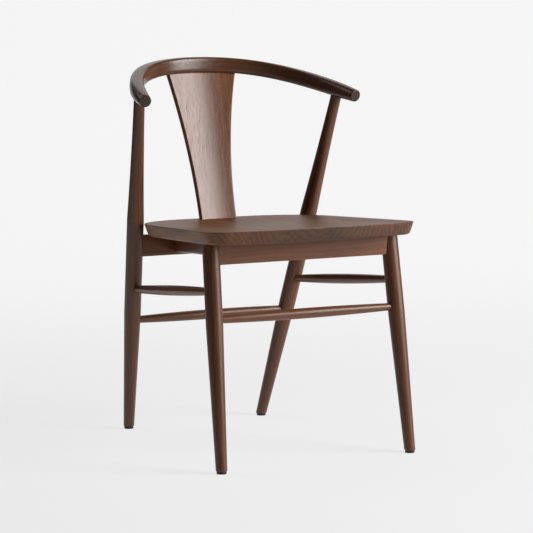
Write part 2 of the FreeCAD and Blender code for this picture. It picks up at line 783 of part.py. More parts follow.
# Rear posts: tapered to both ends, hollow above the seat, coped under the bow
# with a round tenon up into it.
bow_room = shaped("bow_room", bow_blank(num(size.clearance)))
bow_tools = []
for word, side in SIDES.items():
    name = f"rear_post_{word}"
    foot, top = post_line(side)
    length = (top - foot).Length
    stations = [
        (-OVERSHOOT / 2, size.foot_dia / 2, "line"),
        (0.0, size.foot_dia / 2, "line"),
        (size.post_taper_length, size.post_dia / 2, "line"),
        (size.post_neck_start, size.post_dia / 2, "line"),
        (size.post_neck_middle, size.post_neck_dia / 2, "arc"),
        (length, size.post_top_dia / 2, "line"),
    ]
    blank = turned(name + "_turning", stations, along(foot, top))
    coped = cut(name + "_coped", blank, [bow_room])
    run = (top - foot).normalize()
    tenon_foot = top - run * OVERSHOOT
    tenon_length = size.post_tenon_rise + OVERSHOOT
    tenon = rod(name + "_tenon", tenon_foot, top, size.post_tenon_dia, tenon_length)
    whole = joined(name + "_whole", [coped, tenon])
    bow_tools.append(rod(name + "_bow_socket", tenon_foot, top, size.post_tenon_dia + size.clearance * 2,
                         tenon_length + size.clearance * 2))
    side_row = rows[f"side_stretcher_{word}"][::-1]
    rear_row = rows["rear_stretcher"] if side == LEFT else rows["rear_stretcher"][::-1]
    tools = [
        floor_space(name + "_foot_trim", glides[f"rear_{word}"]),
        nail_hole(name + "_nail", glides[f"rear_{word}"]),
        stretcher_socket(name + "_rear_socket", *rear_row),
        stretcher_socket(name + "_side_socket", *side_row),
    ]
    tools += dowel_holes(name + "_dowel", rear_holes[side])
    finish(name, cut(name + "_cut", whole, tools))

splat_room = shaped("splat_room", splat_board(num(size.clearance)))
finish("back_splat", shaped("splat_board", splat_board()))
bow_shape = bow_blank()
arm_ends = num(size.bow_tip_reach) + num(size.bow_tip_dia)
tip_edges = [edge for edge in bow_shape.Edges if edge.BoundBox.YMax < arm_ends]
bow_shape = bow_shape.makeFillet(num(size.bow_tip_edge), tip_edges)
# The seam of the long surface is closed up again where the fillets trim it.
SEAM_GAP, SEAM_GAP_MOST = 1e-5, 1e-3
bow_shape.fix(SEAM_GAP, SEAM_GAP, SEAM_GAP_MOST)
finish("arm_bow", cut("bow_cut", shaped("bow_bent", bow_shape), bow_tools + [splat_room]))


# Seat: outline of arcs and straight sides. Every inset outline keeps the same
# corner centres, so the undercut sides stay parallel.
def seat_outline(inset, height):
    front_reach = num(size.seat_front_reach)
    back = num(size.seat_back_reach)
    bow = num(size.seat_front_bow_radius)
    corner, back_corner = num(size.seat_front_corner), num(size.seat_back_corner)
    wide, narrow = num(size.seat_front_width) / 2, num(size.seat_back_width) / 2
    bow_centre = Vector(0, bow - front_reach, 0)
    start, end = Vector(wide, -front_reach, 0), Vector(narrow, back, 0)
    run = (end - start).normalize()
    inward = Vector(-run.y, run.x, 0)
    base = start + inward * corner
    offset = base - bow_centre
    reach = bow - corner
    middle = offset.dot(run)
    travel = -middle - math.sqrt(middle ** 2 - offset.dot(offset) + reach ** 2)
    front_centre = base + run * travel
    back_base = start + inward * back_corner
    back_centre = back_base + run * ((back - back_corner - back_base.y) / run.y)
    lift = Vector(0, 0, height)

    def mirrored(point):
        return Vector(-point.x, point.y, point.z)

    def arc(centre, radius, first, last):
        middle_way = (first + last).normalize()
        return [centre + turn * (radius - inset) + lift for turn in (first, middle_way, last)]

    outward = -inward
    front_way = (front_centre - bow_centre).normalize()
    front_arc = arc(front_centre, corner, front_way, outward)
    back_arc = arc(back_centre, back_corner, outward, Vector(0, 1, 0))
    centre_front = Vector(0, inset - front_reach, height)
    right = [
        Part.Arc(*front_arc).toShape(),
        Part.LineSegment(front_arc[2], back_arc[0]).toShape(),
        Part.Arc(*back_arc).toShape(),
    ]
    left = [
        Part.Arc(*[mirrored(point) for point in reversed(back_arc)]).toShape(),
        Part.LineSegment(mirrored(back_arc[0]), mirrored(front_arc[2])).toShape(),
        Part.Arc(*[mirrored(point) for point in reversed(front_arc)]).toShape(),
    ]
    front_edge = Part.Arc(mirrored(front_arc[0]), centre_front, front_arc[0]).toShape()
    back_edge = Part.LineSegment(back_arc[2], mirrored(back_arc[2])).toShape()
    return Part.Wire([front_edge] + right + [back_edge] + left)


DISH_GRID = 25
BLANK_SPARE = 4.0


def dish_depth(x, y):
    """Depth of the hollow below the rim, fading to nothing at the rim."""
    front, back = -num(size.seat_front_reach), num(size.seat_back_reach)
    share = (y - front) / (back - front)
    width = num(size.seat_front_width) * (1 - share) + num(size.seat_back_width) * share
    rim = num(size.seat_rim)
    across = x / (width / 2 - rim)
    middle = (front + back) / 2
    length = (y - middle) / ((back - front) / 2 - rim)
    if abs(across) >= 1 or abs(length) >= 1:
        return 0.0
    return num(size.seat_dish) * (1 - across ** 4) ** 2 * (1 - length ** 4) ** 2


def seat_top():
    """The seat's upper surface and all the room above it."""
    half_width = num(size.seat_front_width) / 2 + BLANK_SPARE * 3
    front = -num(size.seat_front_reach) - BLANK_SPARE * 3
    back = num(size.seat_back_reach) + BLANK_SPARE * 3
    grid = []
    for row in range(DISH_GRID):
        x = -half_width + 2 * half_width * row / (DISH_GRID - 1)
        grid.append([])
        for column in range(DISH_GRID):
            y = front + (back - front) * column / (DISH_GRID - 1)
            grid[-1].append(Vector(x, y, num(size.seat_thick) - dish_depth(x, y)))
    surface = Part.BSplineSurface()
    surface.interpolate(grid)
    return surface.toShape().extrude(UP * OVERSHOOT)


def seat_blank():
    undercut, thick = num(size.seat_undercut), num(size.seat_thick)
    spare_inset = undercut * (1 - (thick + BLANK_SPARE) / thick)
    blank = Part.makeLoft([seat_outline(undercut, 0), seat_outline(spare_inset, thick + BLANK_SPARE)],
                          True, True)
    edges = [edge for edge in blank.Edges if edge.BoundBox.ZMax < 0.01]
    return blank.makeFillet(num(size.seat_lower_edge), edges)


board = shaped("seat_blank", seat_blank(), seat_frame)
top_room = shaped("seat_top_room", seat_top(), seat_frame)
# The seat stands clear of the rear posts, and would be hollowed round a thicker one.
post_rooms = [leg_cope(f"seat_relief_{word}", post_line(side), size.post_dia + size.seat_post_gap * 2)
              for word, side in SIDES.items()]
finish("seat", cut("seat_cut", board, [top_room, splat_room] + post_rooms + seat_pilots))

doc.recompute()
failed = [thing.Name for thing in doc.Objects
          if any(word in ("Invalid", "Error") for word in thing.State)]
if failed:
    raise RuntimeError(f"objects that failed to build: {failed}")
for label, thing in parts.items():
    if thing.Shape.isNull() or not thing.Shape.isValid() or not thing.Shape.Solids:
        raise RuntimeError(f"{label} has no valid solid")

os.makedirs("parts", exist_ok=True)
for label, thing in parts.items():
    thing.Shape.exportStep(f"parts/{label}.step")
    print(f"{label}: {len(thing.Shape.Solids)} solids, {thing.Shape.Volume / 1000:.1f} cm3")
print(f"{len(parts)} sub-parts written")
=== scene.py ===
from math import atan2, cos, pi, radians, sin, sqrt, tan

import bpy
from mathutils import Matrix, Vector
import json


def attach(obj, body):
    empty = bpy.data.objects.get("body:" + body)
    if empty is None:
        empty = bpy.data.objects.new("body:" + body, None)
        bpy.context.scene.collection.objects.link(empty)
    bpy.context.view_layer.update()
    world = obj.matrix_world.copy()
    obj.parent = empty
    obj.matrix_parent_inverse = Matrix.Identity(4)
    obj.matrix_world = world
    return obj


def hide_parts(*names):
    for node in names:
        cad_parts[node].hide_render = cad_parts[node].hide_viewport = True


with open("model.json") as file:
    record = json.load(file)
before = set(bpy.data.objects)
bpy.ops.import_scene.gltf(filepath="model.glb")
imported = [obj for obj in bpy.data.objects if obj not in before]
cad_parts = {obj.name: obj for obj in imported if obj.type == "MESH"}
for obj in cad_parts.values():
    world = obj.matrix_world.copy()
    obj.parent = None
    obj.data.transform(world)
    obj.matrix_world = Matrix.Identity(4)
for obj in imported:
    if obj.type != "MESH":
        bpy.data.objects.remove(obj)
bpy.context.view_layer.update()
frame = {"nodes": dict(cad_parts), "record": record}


# Wood
# Every wooden piece is the same walnut-stained hardwood with a satin lacquer. Each piece carries
# its own grain coordinates in metres, X along the fibres, so the figure follows bends and tapers.

def put(tree, kind, inputs=None, **settings):
    """A node with its settings, and its inputs given as values or as sockets to link."""
    made = tree.nodes.new(kind)
    for name, value in settings.items():
        setattr(made, name, value)
    for name, value in (inputs or {}).items():
        if isinstance(value, bpy.types.NodeSocket):
            tree.links.new(value, made.inputs[name])
        else:
            made.inputs[name].default_value = value
    return made


def calc(tree, operation, *values):
    """The result of a maths node."""
    return put(tree, "ShaderNodeMath", dict(enumerate(values)), operation=operation).outputs[0]


def stretched(tree, vector, scale):
    """The vector with each component scaled."""
    return put(tree, "ShaderNodeVectorMath", {0: vector, 1: scale}, operation="MULTIPLY").outputs[0]


def noise(tree, vector, scale, detail=2.0, roughness=0.5):
    """Soft random grey, with about that many waves per metre along each axis."""
    texture = put(tree, "ShaderNodeTexNoise", {"Vector": stretched(tree, vector, scale), "Scale": 1.0,
                                              "Detail": detail, "Roughness": roughness})
    return texture.outputs["Fac"]


def span(tree, value, low, high, to_low=0.0, to_high=1.0):
    """The value moved smoothly from one range to another, and held at its ends."""
    return put(tree, "ShaderNodeMapRange", {"Value": value, "From Min": low, "From Max": high,
                                            "To Min": to_low, "To Max": to_high},
               interpolation_type="SMOOTHSTEP").outputs[0]


def colour_mix(tree, amount, first, second):
    """A mix of two colours: the Mix node's colour sockets are the third pair."""
    return put(tree, "ShaderNodeMix", {0: amount, 6: first, 7: second}, data_type="RGBA").outputs[2]


STAVE_ALONG, STAVE_ASIDE = 0.61, 0.043
WANDER_SCALE, WANDER_REACH = (3.0, 12.0, 12.0), (0.0, 0.055, 0.055)
STREAK_SCALE, FINE_SCALE = (5.0, 130.0, 130.0), (14.0, 620.0, 620.0)
BLOTCH_SCALE, PORE_SCALE = (5.0, 16.0, 16.0), (70.0, 1900.0, 1900.0)
RINGS_DARKEN, STREAKS_DARKEN, FINE_DARKENS, STAVES_DIFFER = 0.42, 0.42, 0.26, 0.24
BLOTCH_PALE, BLOTCH_DARK = -0.12, 0.14
PORES_DARKEN, PORE_COLOUR = 0.42, (0.012, 0.006, 0.004, 1.0)
ENDS_DARKEN, END_COLOUR = 0.74, (0.020, 0.011, 0.009, 1.0)
PORES_ROUGHEN, FINE_ROUGHENS, ENDS_ROUGHEN = 0.2, 0.12, 0.08
FINE_RISE = 0.25

walnut = bpy.data.node_groups.new("walnut_figure", "ShaderNodeTree")
for name, kind in (("Grain", "NodeSocketVector"), ("End grain", "NodeSocketFloat"),
                   ("Pale", "NodeSocketColor"), ("Dark", "NodeSocketColor"), ("Figure", "NodeSocketFloat"),
                   ("Ring spacing", "NodeSocketFloat"), ("Sheen roughness", "NodeSocketFloat"),
                   ("Stave width", "NodeSocketFloat")):
    walnut.interface.new_socket(name, in_out="INPUT", socket_type=kind)
for name, kind in (("Color", "NodeSocketColor"), ("Roughness", "NodeSocketFloat"),
                   ("Height", "NodeSocketFloat")):
    walnut.interface.new_socket(name, in_out="OUTPUT", socket_type=kind)
given = walnut.nodes.new("NodeGroupInput").outputs
end_grain, figure = given["End grain"], given["Figure"]
# A glued board is made of staves, each from another part of the tree.
across_board = put(walnut, "ShaderNodeSeparateXYZ", {0: given["Grain"]}).outputs[1]
stave = calc(walnut, "FLOOR", calc(walnut, "DIVIDE", across_board, given["Stave width"]))
elsewhere = put(walnut, "ShaderNodeCombineXYZ", {0: calc(walnut, "MULTIPLY", stave, STAVE_ALONG),
                                                 2: calc(walnut, "MULTIPLY", stave, STAVE_ASIDE)}).outputs[0]
grain = put(walnut, "ShaderNodeVectorMath", {0: given["Grain"], 1: elsewhere}, operation="ADD").outputs[0]
stave_tone = put(walnut, "ShaderNodeTexWhiteNoise", {"W": stave}, noise_dimensions="1D").outputs["Value"]
# Growth rings: distance from the tree's heart, which wanders slowly along the board.
wander = put(walnut, "ShaderNodeTexNoise", {"Vector": stretched(walnut, grain, WANDER_SCALE), "Scale": 1.0,
                                            "Detail": 2.0}).outputs["Color"]
centred = put(walnut, "ShaderNodeVectorMath", {0: wander, 1: (0.5, 0.5, 0.5)},
              operation="SUBTRACT").outputs[0]
moved = put(walnut, "ShaderNodeVectorMath", {0: centred, 1: WANDER_REACH, 2: grain},
            operation="MULTIPLY_ADD").outputs[0]
parts = put(walnut, "ShaderNodeSeparateXYZ", {0: moved}).outputs
reach = calc(walnut, "SQRT", calc(walnut, "ADD", calc(walnut, "MULTIPLY", parts[1], parts[1]),
                                  calc(walnut, "MULTIPLY", parts[2], parts[2])))
rings = calc(walnut, "FRACT", calc(walnut, "DIVIDE", reach, given["Ring spacing"]))
late = span(walnut, rings, 0.35, 1.0)
early = span(walnut, rings, 0.0, 0.12, 1.0, 0.0)
ring_tone = calc(walnut, "MAXIMUM", late, early)
# Colour streaks some millimetres wide that run with the fibres, and slow blotches of stain.
streaks = noise(walnut, grain, STREAK_SCALE, detail=4.0, roughness=0.62)
fine = noise(walnut, grain, FINE_SCALE, detail=3.0, roughness=0.6)
blotch = noise(walnut, grain, BLOTCH_SCALE)
tone = calc(walnut, "MULTIPLY_ADD", ring_tone, calc(walnut, "MULTIPLY", figure, RINGS_DARKEN),
            span(walnut, streaks, 0.3, 0.7, 0.0, STREAKS_DARKEN))
tone = calc(walnut, "ADD", tone, span(walnut, fine, 0.3, 0.72, 0.0, FINE_DARKENS))
tone = calc(walnut, "ADD", tone, span(walnut, blotch, 0.3, 0.7, BLOTCH_PALE, BLOTCH_DARK))
tone = calc(walnut, "ADD", tone, calc(walnut, "MULTIPLY_ADD", stave_tone, STAVES_DIFFER, -STAVES_DIFFER / 2))
wood = colour_mix(walnut, calc(walnut, "MINIMUM", tone, 1.0), given["Pale"], given["Dark"])
# Open pores: short dark dashes along the fibres, points on end grain.
pores = span(walnut, noise(walnut, grain, PORE_SCALE, detail=1.0), 0.6, 0.74)
wood = colour_mix(walnut, calc(walnut, "MULTIPLY", pores, PORES_DARKEN), wood, PORE_COLOUR)
# End grain drinks more stain.
wood = colour_mix(walnut, calc(walnut, "MULTIPLY", end_grain, ENDS_DARKEN), wood, END_COLOUR)
sheen_loss = calc(walnut, "MULTIPLY_ADD", pores, PORES_ROUGHEN, calc(walnut, "MULTIPLY", fine, FINE_ROUGHENS))
roughness = calc(walnut, "MULTIPLY_ADD", end_grain, ENDS_ROUGHEN, given["Sheen roughness"])
roughness = calc(walnut, "ADD", roughness, sheen_loss)
height = calc(walnut, "SUBTRACT", calc(walnut, "MULTIPLY", fine, FINE_RISE), pores)
tree_out = walnut.nodes.new("NodeGroupOutput")
for name, value in (("Color", wood), ("Roughness", roughness), ("Height", height)):
    walnut.links.new(value, tree_out.inputs[name])

# Far wider than any piece, so the piece is in one stave.
ONE_STAVE = 10.0


def walnut_finish(name, pale, dark, figure_strength, ring_spacing, sheen_roughness, stave_width=ONE_STAVE):
    """Walnut under satin lacquer, with its own stain."""
    material = bpy.data.materials.new(name)
    material.use_nodes = True
    tree = material.node_tree
    shader = tree.nodes["Principled BSDF"]
    coords = put(tree, "ShaderNodeAttribute", attribute_name="grain").outputs["Vector"]
    ends = put(tree, "ShaderNodeAttribute", attribute_name="end_grain").outputs["Fac"]
    look = tree.nodes.new("ShaderNodeGroup")
    look.node_tree = walnut
    for socket, value in (("Grain", coords), ("End grain", ends)):
        tree.links.new(value, look.inputs[socket])
    for socket, value in (("Pale", (*pale, 1.0)), ("Dark", (*dark, 1.0)), ("Figure", figure_strength),
                          ("Ring spacing", ring_spacing), ("Sheen roughness", sheen_roughness),
                          ("Stave width", stave_width)):
        look.inputs[socket].default_value = value
    bump = put(tree, "ShaderNodeBump", {"Height": look.outputs["Height"], "Strength": 0.35,
                                        "Distance": 0.00012})
    tree.links.new(look.outputs["Color"], shader.inputs["Base Color"])
    tree.links.new(look.outputs["Roughness"], shader.inputs["Roughness"])
    tree.links.new(bump.outputs["Normal"], shader.inputs["Normal"])
    shader.inputs["IOR"].default_value = 1.5
    return material


SHARP_ANGLE = radians(40)


def loft(name, rings, grain_rings, end_rings=()):
    """A closed skin over rings of points. grain_rings holds the same points in grain coordinates,
    and the rings numbered in end_rings show end grain."""
    count = len(rings[0])
    points = [point for ring in rings for point in ring]
    coords = [point for ring in grain_rings for point in ring]
    ends = [1.0 if index in end_rings else 0.0 for index in range(len(rings)) for _ in range(count)]
    faces = []
    for row in range(len(rings) - 1):
        for column in range(count):
            after = (column + 1) % count
            faces.append((row * count + column, row * count + after,
                          (row + 1) * count + after, (row + 1) * count + column))
    for row in (0, len(rings) - 1):
        middle = len(points)
        points.append(sum((Vector(p) for p in rings[row]), Vector()) / count)
        coords.append(sum((Vector(p) for p in grain_rings[row]), Vector()) / count)
        ends.append(ends[row * count])
        for column in range(count):
            pair = (row * count + column, row * count + (column + 1) % count)
            faces.append((middle, *(pair if row else pair[::-1])))
    mesh = bpy.data.meshes.new(name)
    mesh.from_pydata([tuple(p) for p in points], [], faces)
    mesh.validate()
    grain_layer = mesh.attributes.new("grain", "FLOAT_VECTOR", "POINT")
    grain_layer.data.foreach_set("vector", [value for point in coords for value in point])
    end_layer = mesh.attributes.new("end_grain", "FLOAT", "POINT")
    end_layer.data.foreach_set("value", ends)
    mesh.shade_smooth()
    mesh.set_sharp_from_angle(angle=SHARP_ANGLE)
    piece = bpy.data.objects.new(name, mesh)
    bpy.context.scene.collection.objects.link(piece)
    return piece


def stand_for(piece, node, material):
    """The piece shows in place of its CAD node, in the finish given."""
    piece.data.materials.append(material)
    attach(piece, "root")
    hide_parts(node)


def shifted(rings, offset):
    """Grain coordinates moved to another place in the tree, so no two pieces are alike."""
    return [[Vector(point) + Vector(offset) for point in ring] for ring in rings]


# Seat
# A board glued from staves that run front to back, 25 mm thick, tilted 2.4 degrees back. Its sides
# are undercut, its lower edge is rounded over, and the top is dished inside a level rim.

SEAT_UNDER = 0.4205
SEAT_TILT = radians(2.37)
SEAT_FRONT, SEAT_BACK = 0.2724, 0.1845
SEAT_WIDE, SEAT_NARROW = 0.235, 0.1965
SEAT_THICK = 0.025
FRONT_BOW, FRONT_CORNER, BACK_CORNER = 1.0, 0.045, 0.135
SIDE_STEPS, BACK_STEPS = 30, 12
UNDERCUT = 0.008
LOWER_ROUND, ROUND_LEAN = 0.006, 0.0015
ARRIS, ARRIS_INSET = 0.0012, 0.0002
RIM, DISH_DEEP = 0.016, 0.008
HEART_FORWARD = 0.045
TOP_INSETS = (0.004, 0.008, 0.012, 0.016, 0.020, 0.025, 0.030, 0.035, 0.040)
UNDER_SCALES = (0.02, 0.35, 0.7, 0.93)
TOP_SCALES = (0.94, 0.88, 0.82, 0.75, 0.68, 0.6, 0.52, 0.44, 0.36, 0.28, 0.2, 0.12, 0.04)


def seat_outline(inset):
    """Points round the seat, anticlockwise from the front middle, at an inset from its widest outline."""
    bow_centre = Vector((0, FRONT_BOW - SEAT_FRONT))
    start, end = Vector((SEAT_WIDE, -SEAT_FRONT)), Vector((SEAT_NARROW, SEAT_BACK))
    run = (end - start).normalized()
    inward = Vector((-run.y, run.x))
    base = start + inward * FRONT_CORNER
    offset = base - bow_centre
    middle = offset.dot(run)
    back_along = sqrt(middle ** 2 - offset.dot(offset) + (FRONT_BOW - FRONT_CORNER) ** 2)
    front_centre = base + run * (-middle - back_along)
    back_base = start + inward * BACK_CORNER
    back_centre = back_base + run * ((SEAT_BACK - BACK_CORNER - back_base.y) / run.y)
    front_way = (front_centre - bow_centre).normalized()
    outward = -inward

    def arc(centre, radius, first, last, count):
        a, b = atan2(first.y, first.x), atan2(last.y, last.x)
        turns = [a + (b - a) * k / count for k in range(count)]
        return [centre + Vector((cos(turn), sin(turn))) * (radius - inset) for turn in turns]

    half = arc(bow_centre, FRONT_BOW, Vector((0, -1)), front_way, 28)
    half += arc(front_centre, FRONT_CORNER, front_way, outward, 18)
    side_start = front_centre + outward * (FRONT_CORNER - inset)
    side_end = back_centre + outward * (BACK_CORNER - inset)
    half += [side_start.lerp(side_end, k / SIDE_STEPS) for k in range(SIDE_STEPS)]
    half += arc(back_centre, BACK_CORNER, outward, Vector((0, 1)), 26)
    top = back_centre + Vector((0, BACK_CORNER - inset))
    half += [top.lerp(Vector((0, top.y)), k / BACK_STEPS) for k in range(BACK_STEPS + 1)]
    return half + [Vector((-p.x, p.y)) for p in reversed(half[1:-1])]


def dish(x, y):
    """Depth of the hollow below the rim."""
    share = (y + SEAT_FRONT) / (SEAT_FRONT + SEAT_BACK)
    across = x / (SEAT_WIDE * (1 - share) + SEAT_NARROW * share - RIM)
    middle = (SEAT_BACK - SEAT_FRONT) / 2
    length = (y - middle) / ((SEAT_FRONT + SEAT_BACK) / 2 - RIM)
    if abs(across) >= 1 or abs(length) >= 1:
        return 0.0
    return DISH_DEEP * (1 - across ** 4) ** 2 * (1 - length ** 4) ** 2


seat_rings = []


def seat_ring(inset, height, scale=1.0, dished=False):
    """The outline at that inset and height, drawn in towards the middle of the seat by the scale."""
    heart = Vector((0, -HEART_FORWARD))
    ring = []
    for point in seat_outline(inset):
        flat = heart + (point - heart) * scale
        ring.append(Vector((flat.x, flat.y, height - (dish(flat.x, flat.y) if dished else 0.0))))
    seat_rings.append(ring)


# From the middle of the underside out, round the lower edge, up the side and in over the top.
for scale in UNDER_SCALES:
    seat_ring(UNDERCUT + LOWER_ROUND, 0.0, scale)
edge_start = len(seat_rings)
for step in range(9):
    turn = pi / 2 * step / 8
    seat_ring(UNDERCUT + LOWER_ROUND * (1 - sin(turn)) - ROUND_LEAN * (1 - cos(turn)),
              LOWER_ROUND * (1 - cos(turn)))
for share in (0.45, 0.65, 0.85):
    seat_ring(UNDERCUT * (1 - share), SEAT_THICK * share)
edge_end = len(seat_rings) + 1
for step in range(7):
    turn = pi / 2 * step / 6
    seat_ring(ARRIS * (1 - cos(turn)) + ARRIS_INSET, SEAT_THICK - ARRIS * (1 - sin(turn)))
for inset in TOP_INSETS:
    seat_ring(inset, SEAT_THICK, dished=True)
for scale in TOP_SCALES:
    seat_ring(TOP_INSETS[-1], SEAT_THICK, scale, dished=True)

seat_place = Matrix.Translation((0, 0, SEAT_UNDER)) @ Matrix.Rotation(-SEAT_TILT, 4, "X")
seat_grain = [[Vector((p.y, p.x, p.z)) for p in ring] for ring in seat_rings]
seat_world = [[seat_place @ p for p in ring] for ring in seat_rings]
seat_piece = loft("seat_board", seat_world, shifted(seat_grain, (0.3, 0.004, -0.062)))
# Front and back edges show end grain, which fades towards the corners.
END_FROM, END_HALF_WIDTH, END_FADE = 0.16, 0.225, 0.35
layer = seat_piece.data.attributes["end_grain"].data
for index, point in enumerate(p for ring in seat_rings for p in ring):
    row = index // len(seat_rings[0])
    if edge_start <= row <= edge_end and abs(point.y + HEART_FORWARD) > END_FROM:
        layer[index].value = max(0.0, 1.0 - abs(point.x) / END_HALF_WIDTH) ** END_FADE
seat_finish = walnut_finish("seat_walnut", (0.34, 0.134, 0.047), (0.080, 0.026, 0.008), figure_strength=1.0,
                            ring_spacing=0.011, sheen_roughness=0.42, stave_width=0.082)
stand_for(seat_piece, "seat", seat_finish)


# Bow
# One piece bent in steam, arms and top rail together: a tall rounded rectangle behind the back
# that closes to a round at the arm ends, where the cut faces show end grain.

BOW_BACK, BACK_HANDLE = Vector((0, 0.2416, 0.7505)), 0.1555
BOW_TIP, TIP_HANDLE, TIP_ANGLE = Vector((0.2388, 0.0115, 0.6894)), 0.127, radians(11.6)
BEND_HEIGHT = 0.7173
BOW_DEEP, ARM_DEEP, BOW_TALL, TIP_DIA = 0.0245, 0.0295, 0.0314, 0.0246
ARM_FULL_SHARE, NARROWING = 0.8, 10
BACK_SQUARENESS, TIP_SQUARENESS = 6.0, 2.0
BOW_STEPS, BOW_POINTS = 90, 72
TIP_EDGE, TIP_HEART = 0.0012, 0.006


def bow_point(share):
    """Centre and direction of the bow's right half, from share 0 at its middle to 1 at its tip."""
    bend = BOW_TIP + Vector((-sin(TIP_ANGLE), cos(TIP_ANGLE), 0)) * TIP_HANDLE
    bend.z = BEND_HEIGHT
    poles = [BOW_BACK, Vector((BACK_HANDLE, *BOW_BACK.yz)), bend, BOW_TIP]
    a, b = 1 - share, share
    weights = (a ** 3, 3 * a * a * b, 3 * a * b * b, b ** 3)
    centre = sum((pole * weight for pole, weight in zip(poles, weights)), Vector())
    slopes = (a * a, 2 * a * b, b * b)
    steps = [after - before for before, after in zip(poles, poles[1:])]
    run = sum((step * weight for step, weight in zip(steps, slopes)), Vector())
    return centre, run.normalized()


def bow_ring(side, share, shrink, along):
    """A section of the bow, in the room and in its own plane, smaller all round by shrink and set
    back by along."""
    centre, run = bow_point(share)
    inward = Vector((run.y, -run.x, 0)).normalized()
    upward = inward.cross(run).normalized()
    if upward.z < 0:
        upward = -upward
    swell, narrowed = min(share / ARM_FULL_SHARE, 1.0) ** 2, share ** NARROWING
    deep = (BOW_DEEP * (1 - swell) + ARM_DEEP * swell) * (1 - narrowed) + TIP_DIA * narrowed
    tall = BOW_TALL * (1 - narrowed) + TIP_DIA * narrowed
    power = BACK_SQUARENESS * (1 - share) + TIP_SQUARENESS * share
    ring, flat = [], []
    for step in range(BOW_POINTS):
        turn = 2 * pi * step / BOW_POINTS
        reach = (abs(cos(turn)) ** power + abs(sin(turn)) ** power) ** (-1 / power)
        x = cos(turn) * reach * (deep / 2 - shrink)
        z = sin(turn) * reach * (tall / 2 - shrink)
        point = centre - run * along + inward * x + upward * z
        ring.append(Vector((side * point.x, point.y, point.z)))
        flat.append((x, z))
    return ring, flat


bow_rings, bow_grain = [], []


def add_bow(side, share, length, shrink=0.0, along=0.0):
    ring, flat = bow_ring(side, share, shrink, along)
    bow_rings.append(ring)
    bow_grain.append([Vector((side * (length - along), x, z)) for x, z in flat])


bow_shares = [step / BOW_STEPS for step in range(BOW_STEPS + 1)]
bow_lengths = [0.0]
for before, after in zip(bow_shares, bow_shares[1:]):
    bow_lengths.append(bow_lengths[-1] + (bow_point(after)[0] - bow_point(before)[0]).length)
bow_stations = list(zip(bow_shares, bow_lengths))
# Each tip's rings: how far back along the bow, and how much smaller than the full section.
tip_rings = [(0.0, TIP_HEART), (0.0, TIP_EDGE), (0.00008, TIP_EDGE * 0.6),
             (TIP_EDGE * 0.3, TIP_EDGE * 0.28), (TIP_EDGE, 0.0)]
for along, shrink in tip_rings:
    add_bow(-1, 1.0, bow_lengths[-1], shrink, along)
for share, length in reversed(bow_stations[1:-1]):
    add_bow(-1, share, length)
for share, length in bow_stations[:-1]:
    add_bow(1, share, length)
for along, shrink in reversed(tip_rings):
    add_bow(1, 1.0, bow_lengths[-1], shrink, along)
last = len(bow_rings) - 1
bow_piece = loft("arm_bow_bent", bow_rings, shifted(bow_grain, (1.7, 0.052, 0.011)),
                 end_rings=(0, 1, last, last - 1))
bow_finish = walnut_finish("bow_walnut", (0.15, 0.058, 0.025), (0.06, 0.022, 0.009), figure_strength=0.45,
                           ring_spacing=0.008, sheen_roughness=0.2)
stand_for(bow_piece, "arm_bow", bow_finish)


# Splat
# A flat-sawn board bent to a shallow hollow, wider at the top, let into the seat and the bow.

SPLAT_LOW, SPLAT_HIGH = 0.4275, 0.744
SPLAT_FOOT, SPLAT_TOP = 0.440, 0.7345
FOOT_BACK, TOP_BACK, BACKWARD_BEND = 0.1567, 0.2370, 0.004
FOOT_WIDTH, FLARE = 0.0804, 0.076
HOLLOW_RADIUS, SPLAT_THICK, SPLAT_EDGE = 0.290, 0.011, 0.0015
SPLAT_STEPS, WIDTH_STEPS = 60, 16

splat_rings, splat_grain = [], []
for step in range(SPLAT_STEPS + 1):
    height = SPLAT_LOW + (SPLAT_HIGH - SPLAT_LOW) * step / SPLAT_STEPS
    share = (height - SPLAT_FOOT) / (SPLAT_TOP - SPLAT_FOOT)
    front = FOOT_BACK + (TOP_BACK - FOOT_BACK) * share + BACKWARD_BEND * share * (1 - share)
    half = (FOOT_WIDTH + FLARE * share ** 2) / 2
    flat_half = half - SPLAT_EDGE
    outline = []
    for corner, (sx, at_back) in enumerate(((1, False), (1, True), (-1, True), (-1, False))):
        depth = SPLAT_THICK - SPLAT_EDGE if at_back else SPLAT_EDGE
        for k in range(6):
            turn = -pi / 2 + pi / 2 * corner + pi / 2 * k / 5
            outline.append((sx * flat_half + SPLAT_EDGE * cos(turn), depth + SPLAT_EDGE * sin(turn)))
    back_run = [(flat_half * (1 - 2 * k / WIDTH_STEPS), SPLAT_THICK) for k in range(1, WIDTH_STEPS)]
    front_run = [(-x, 0.0) for x, _ in back_run]
    outline = outline[:12] + back_run + outline[12:] + front_run
    ring, flat = [], []
    for x, depth in outline:
        turn, reach = x / HOLLOW_RADIUS, HOLLOW_RADIUS + depth
        ring.append(Vector((sin(turn) * reach, front - HOLLOW_RADIUS + reach * cos(turn), height)))
        flat.append(Vector((height, x, depth)))
    splat_rings.append(ring)
    splat_grain.append(flat)
splat_piece = loft("back_splat_board", splat_rings, shifted(splat_grain, (3.1, 0.012, 0.048)))
splat_finish = walnut_finish("splat_walnut", (0.28, 0.108, 0.046), (0.125, 0.045, 0.018),
                             figure_strength=0.42, ring_spacing=0.006, sheen_roughness=0.2)
stand_for(splat_piece, "back_splat", splat_finish)


# Front legs
# Turned from solid squares: straight below the seat, then tapering to the foot, cut level there
# and lightly chamfered round the cut.

FOOT_LEVEL, FOOT_START = 0.005, 0.012
FOOT_HEART = 0.55
FOOT_CHAMFER = ((0.0011, 0.0), (0.0006, 0.0001), (0.0002, 0.0005), (0.0, 0.0013))


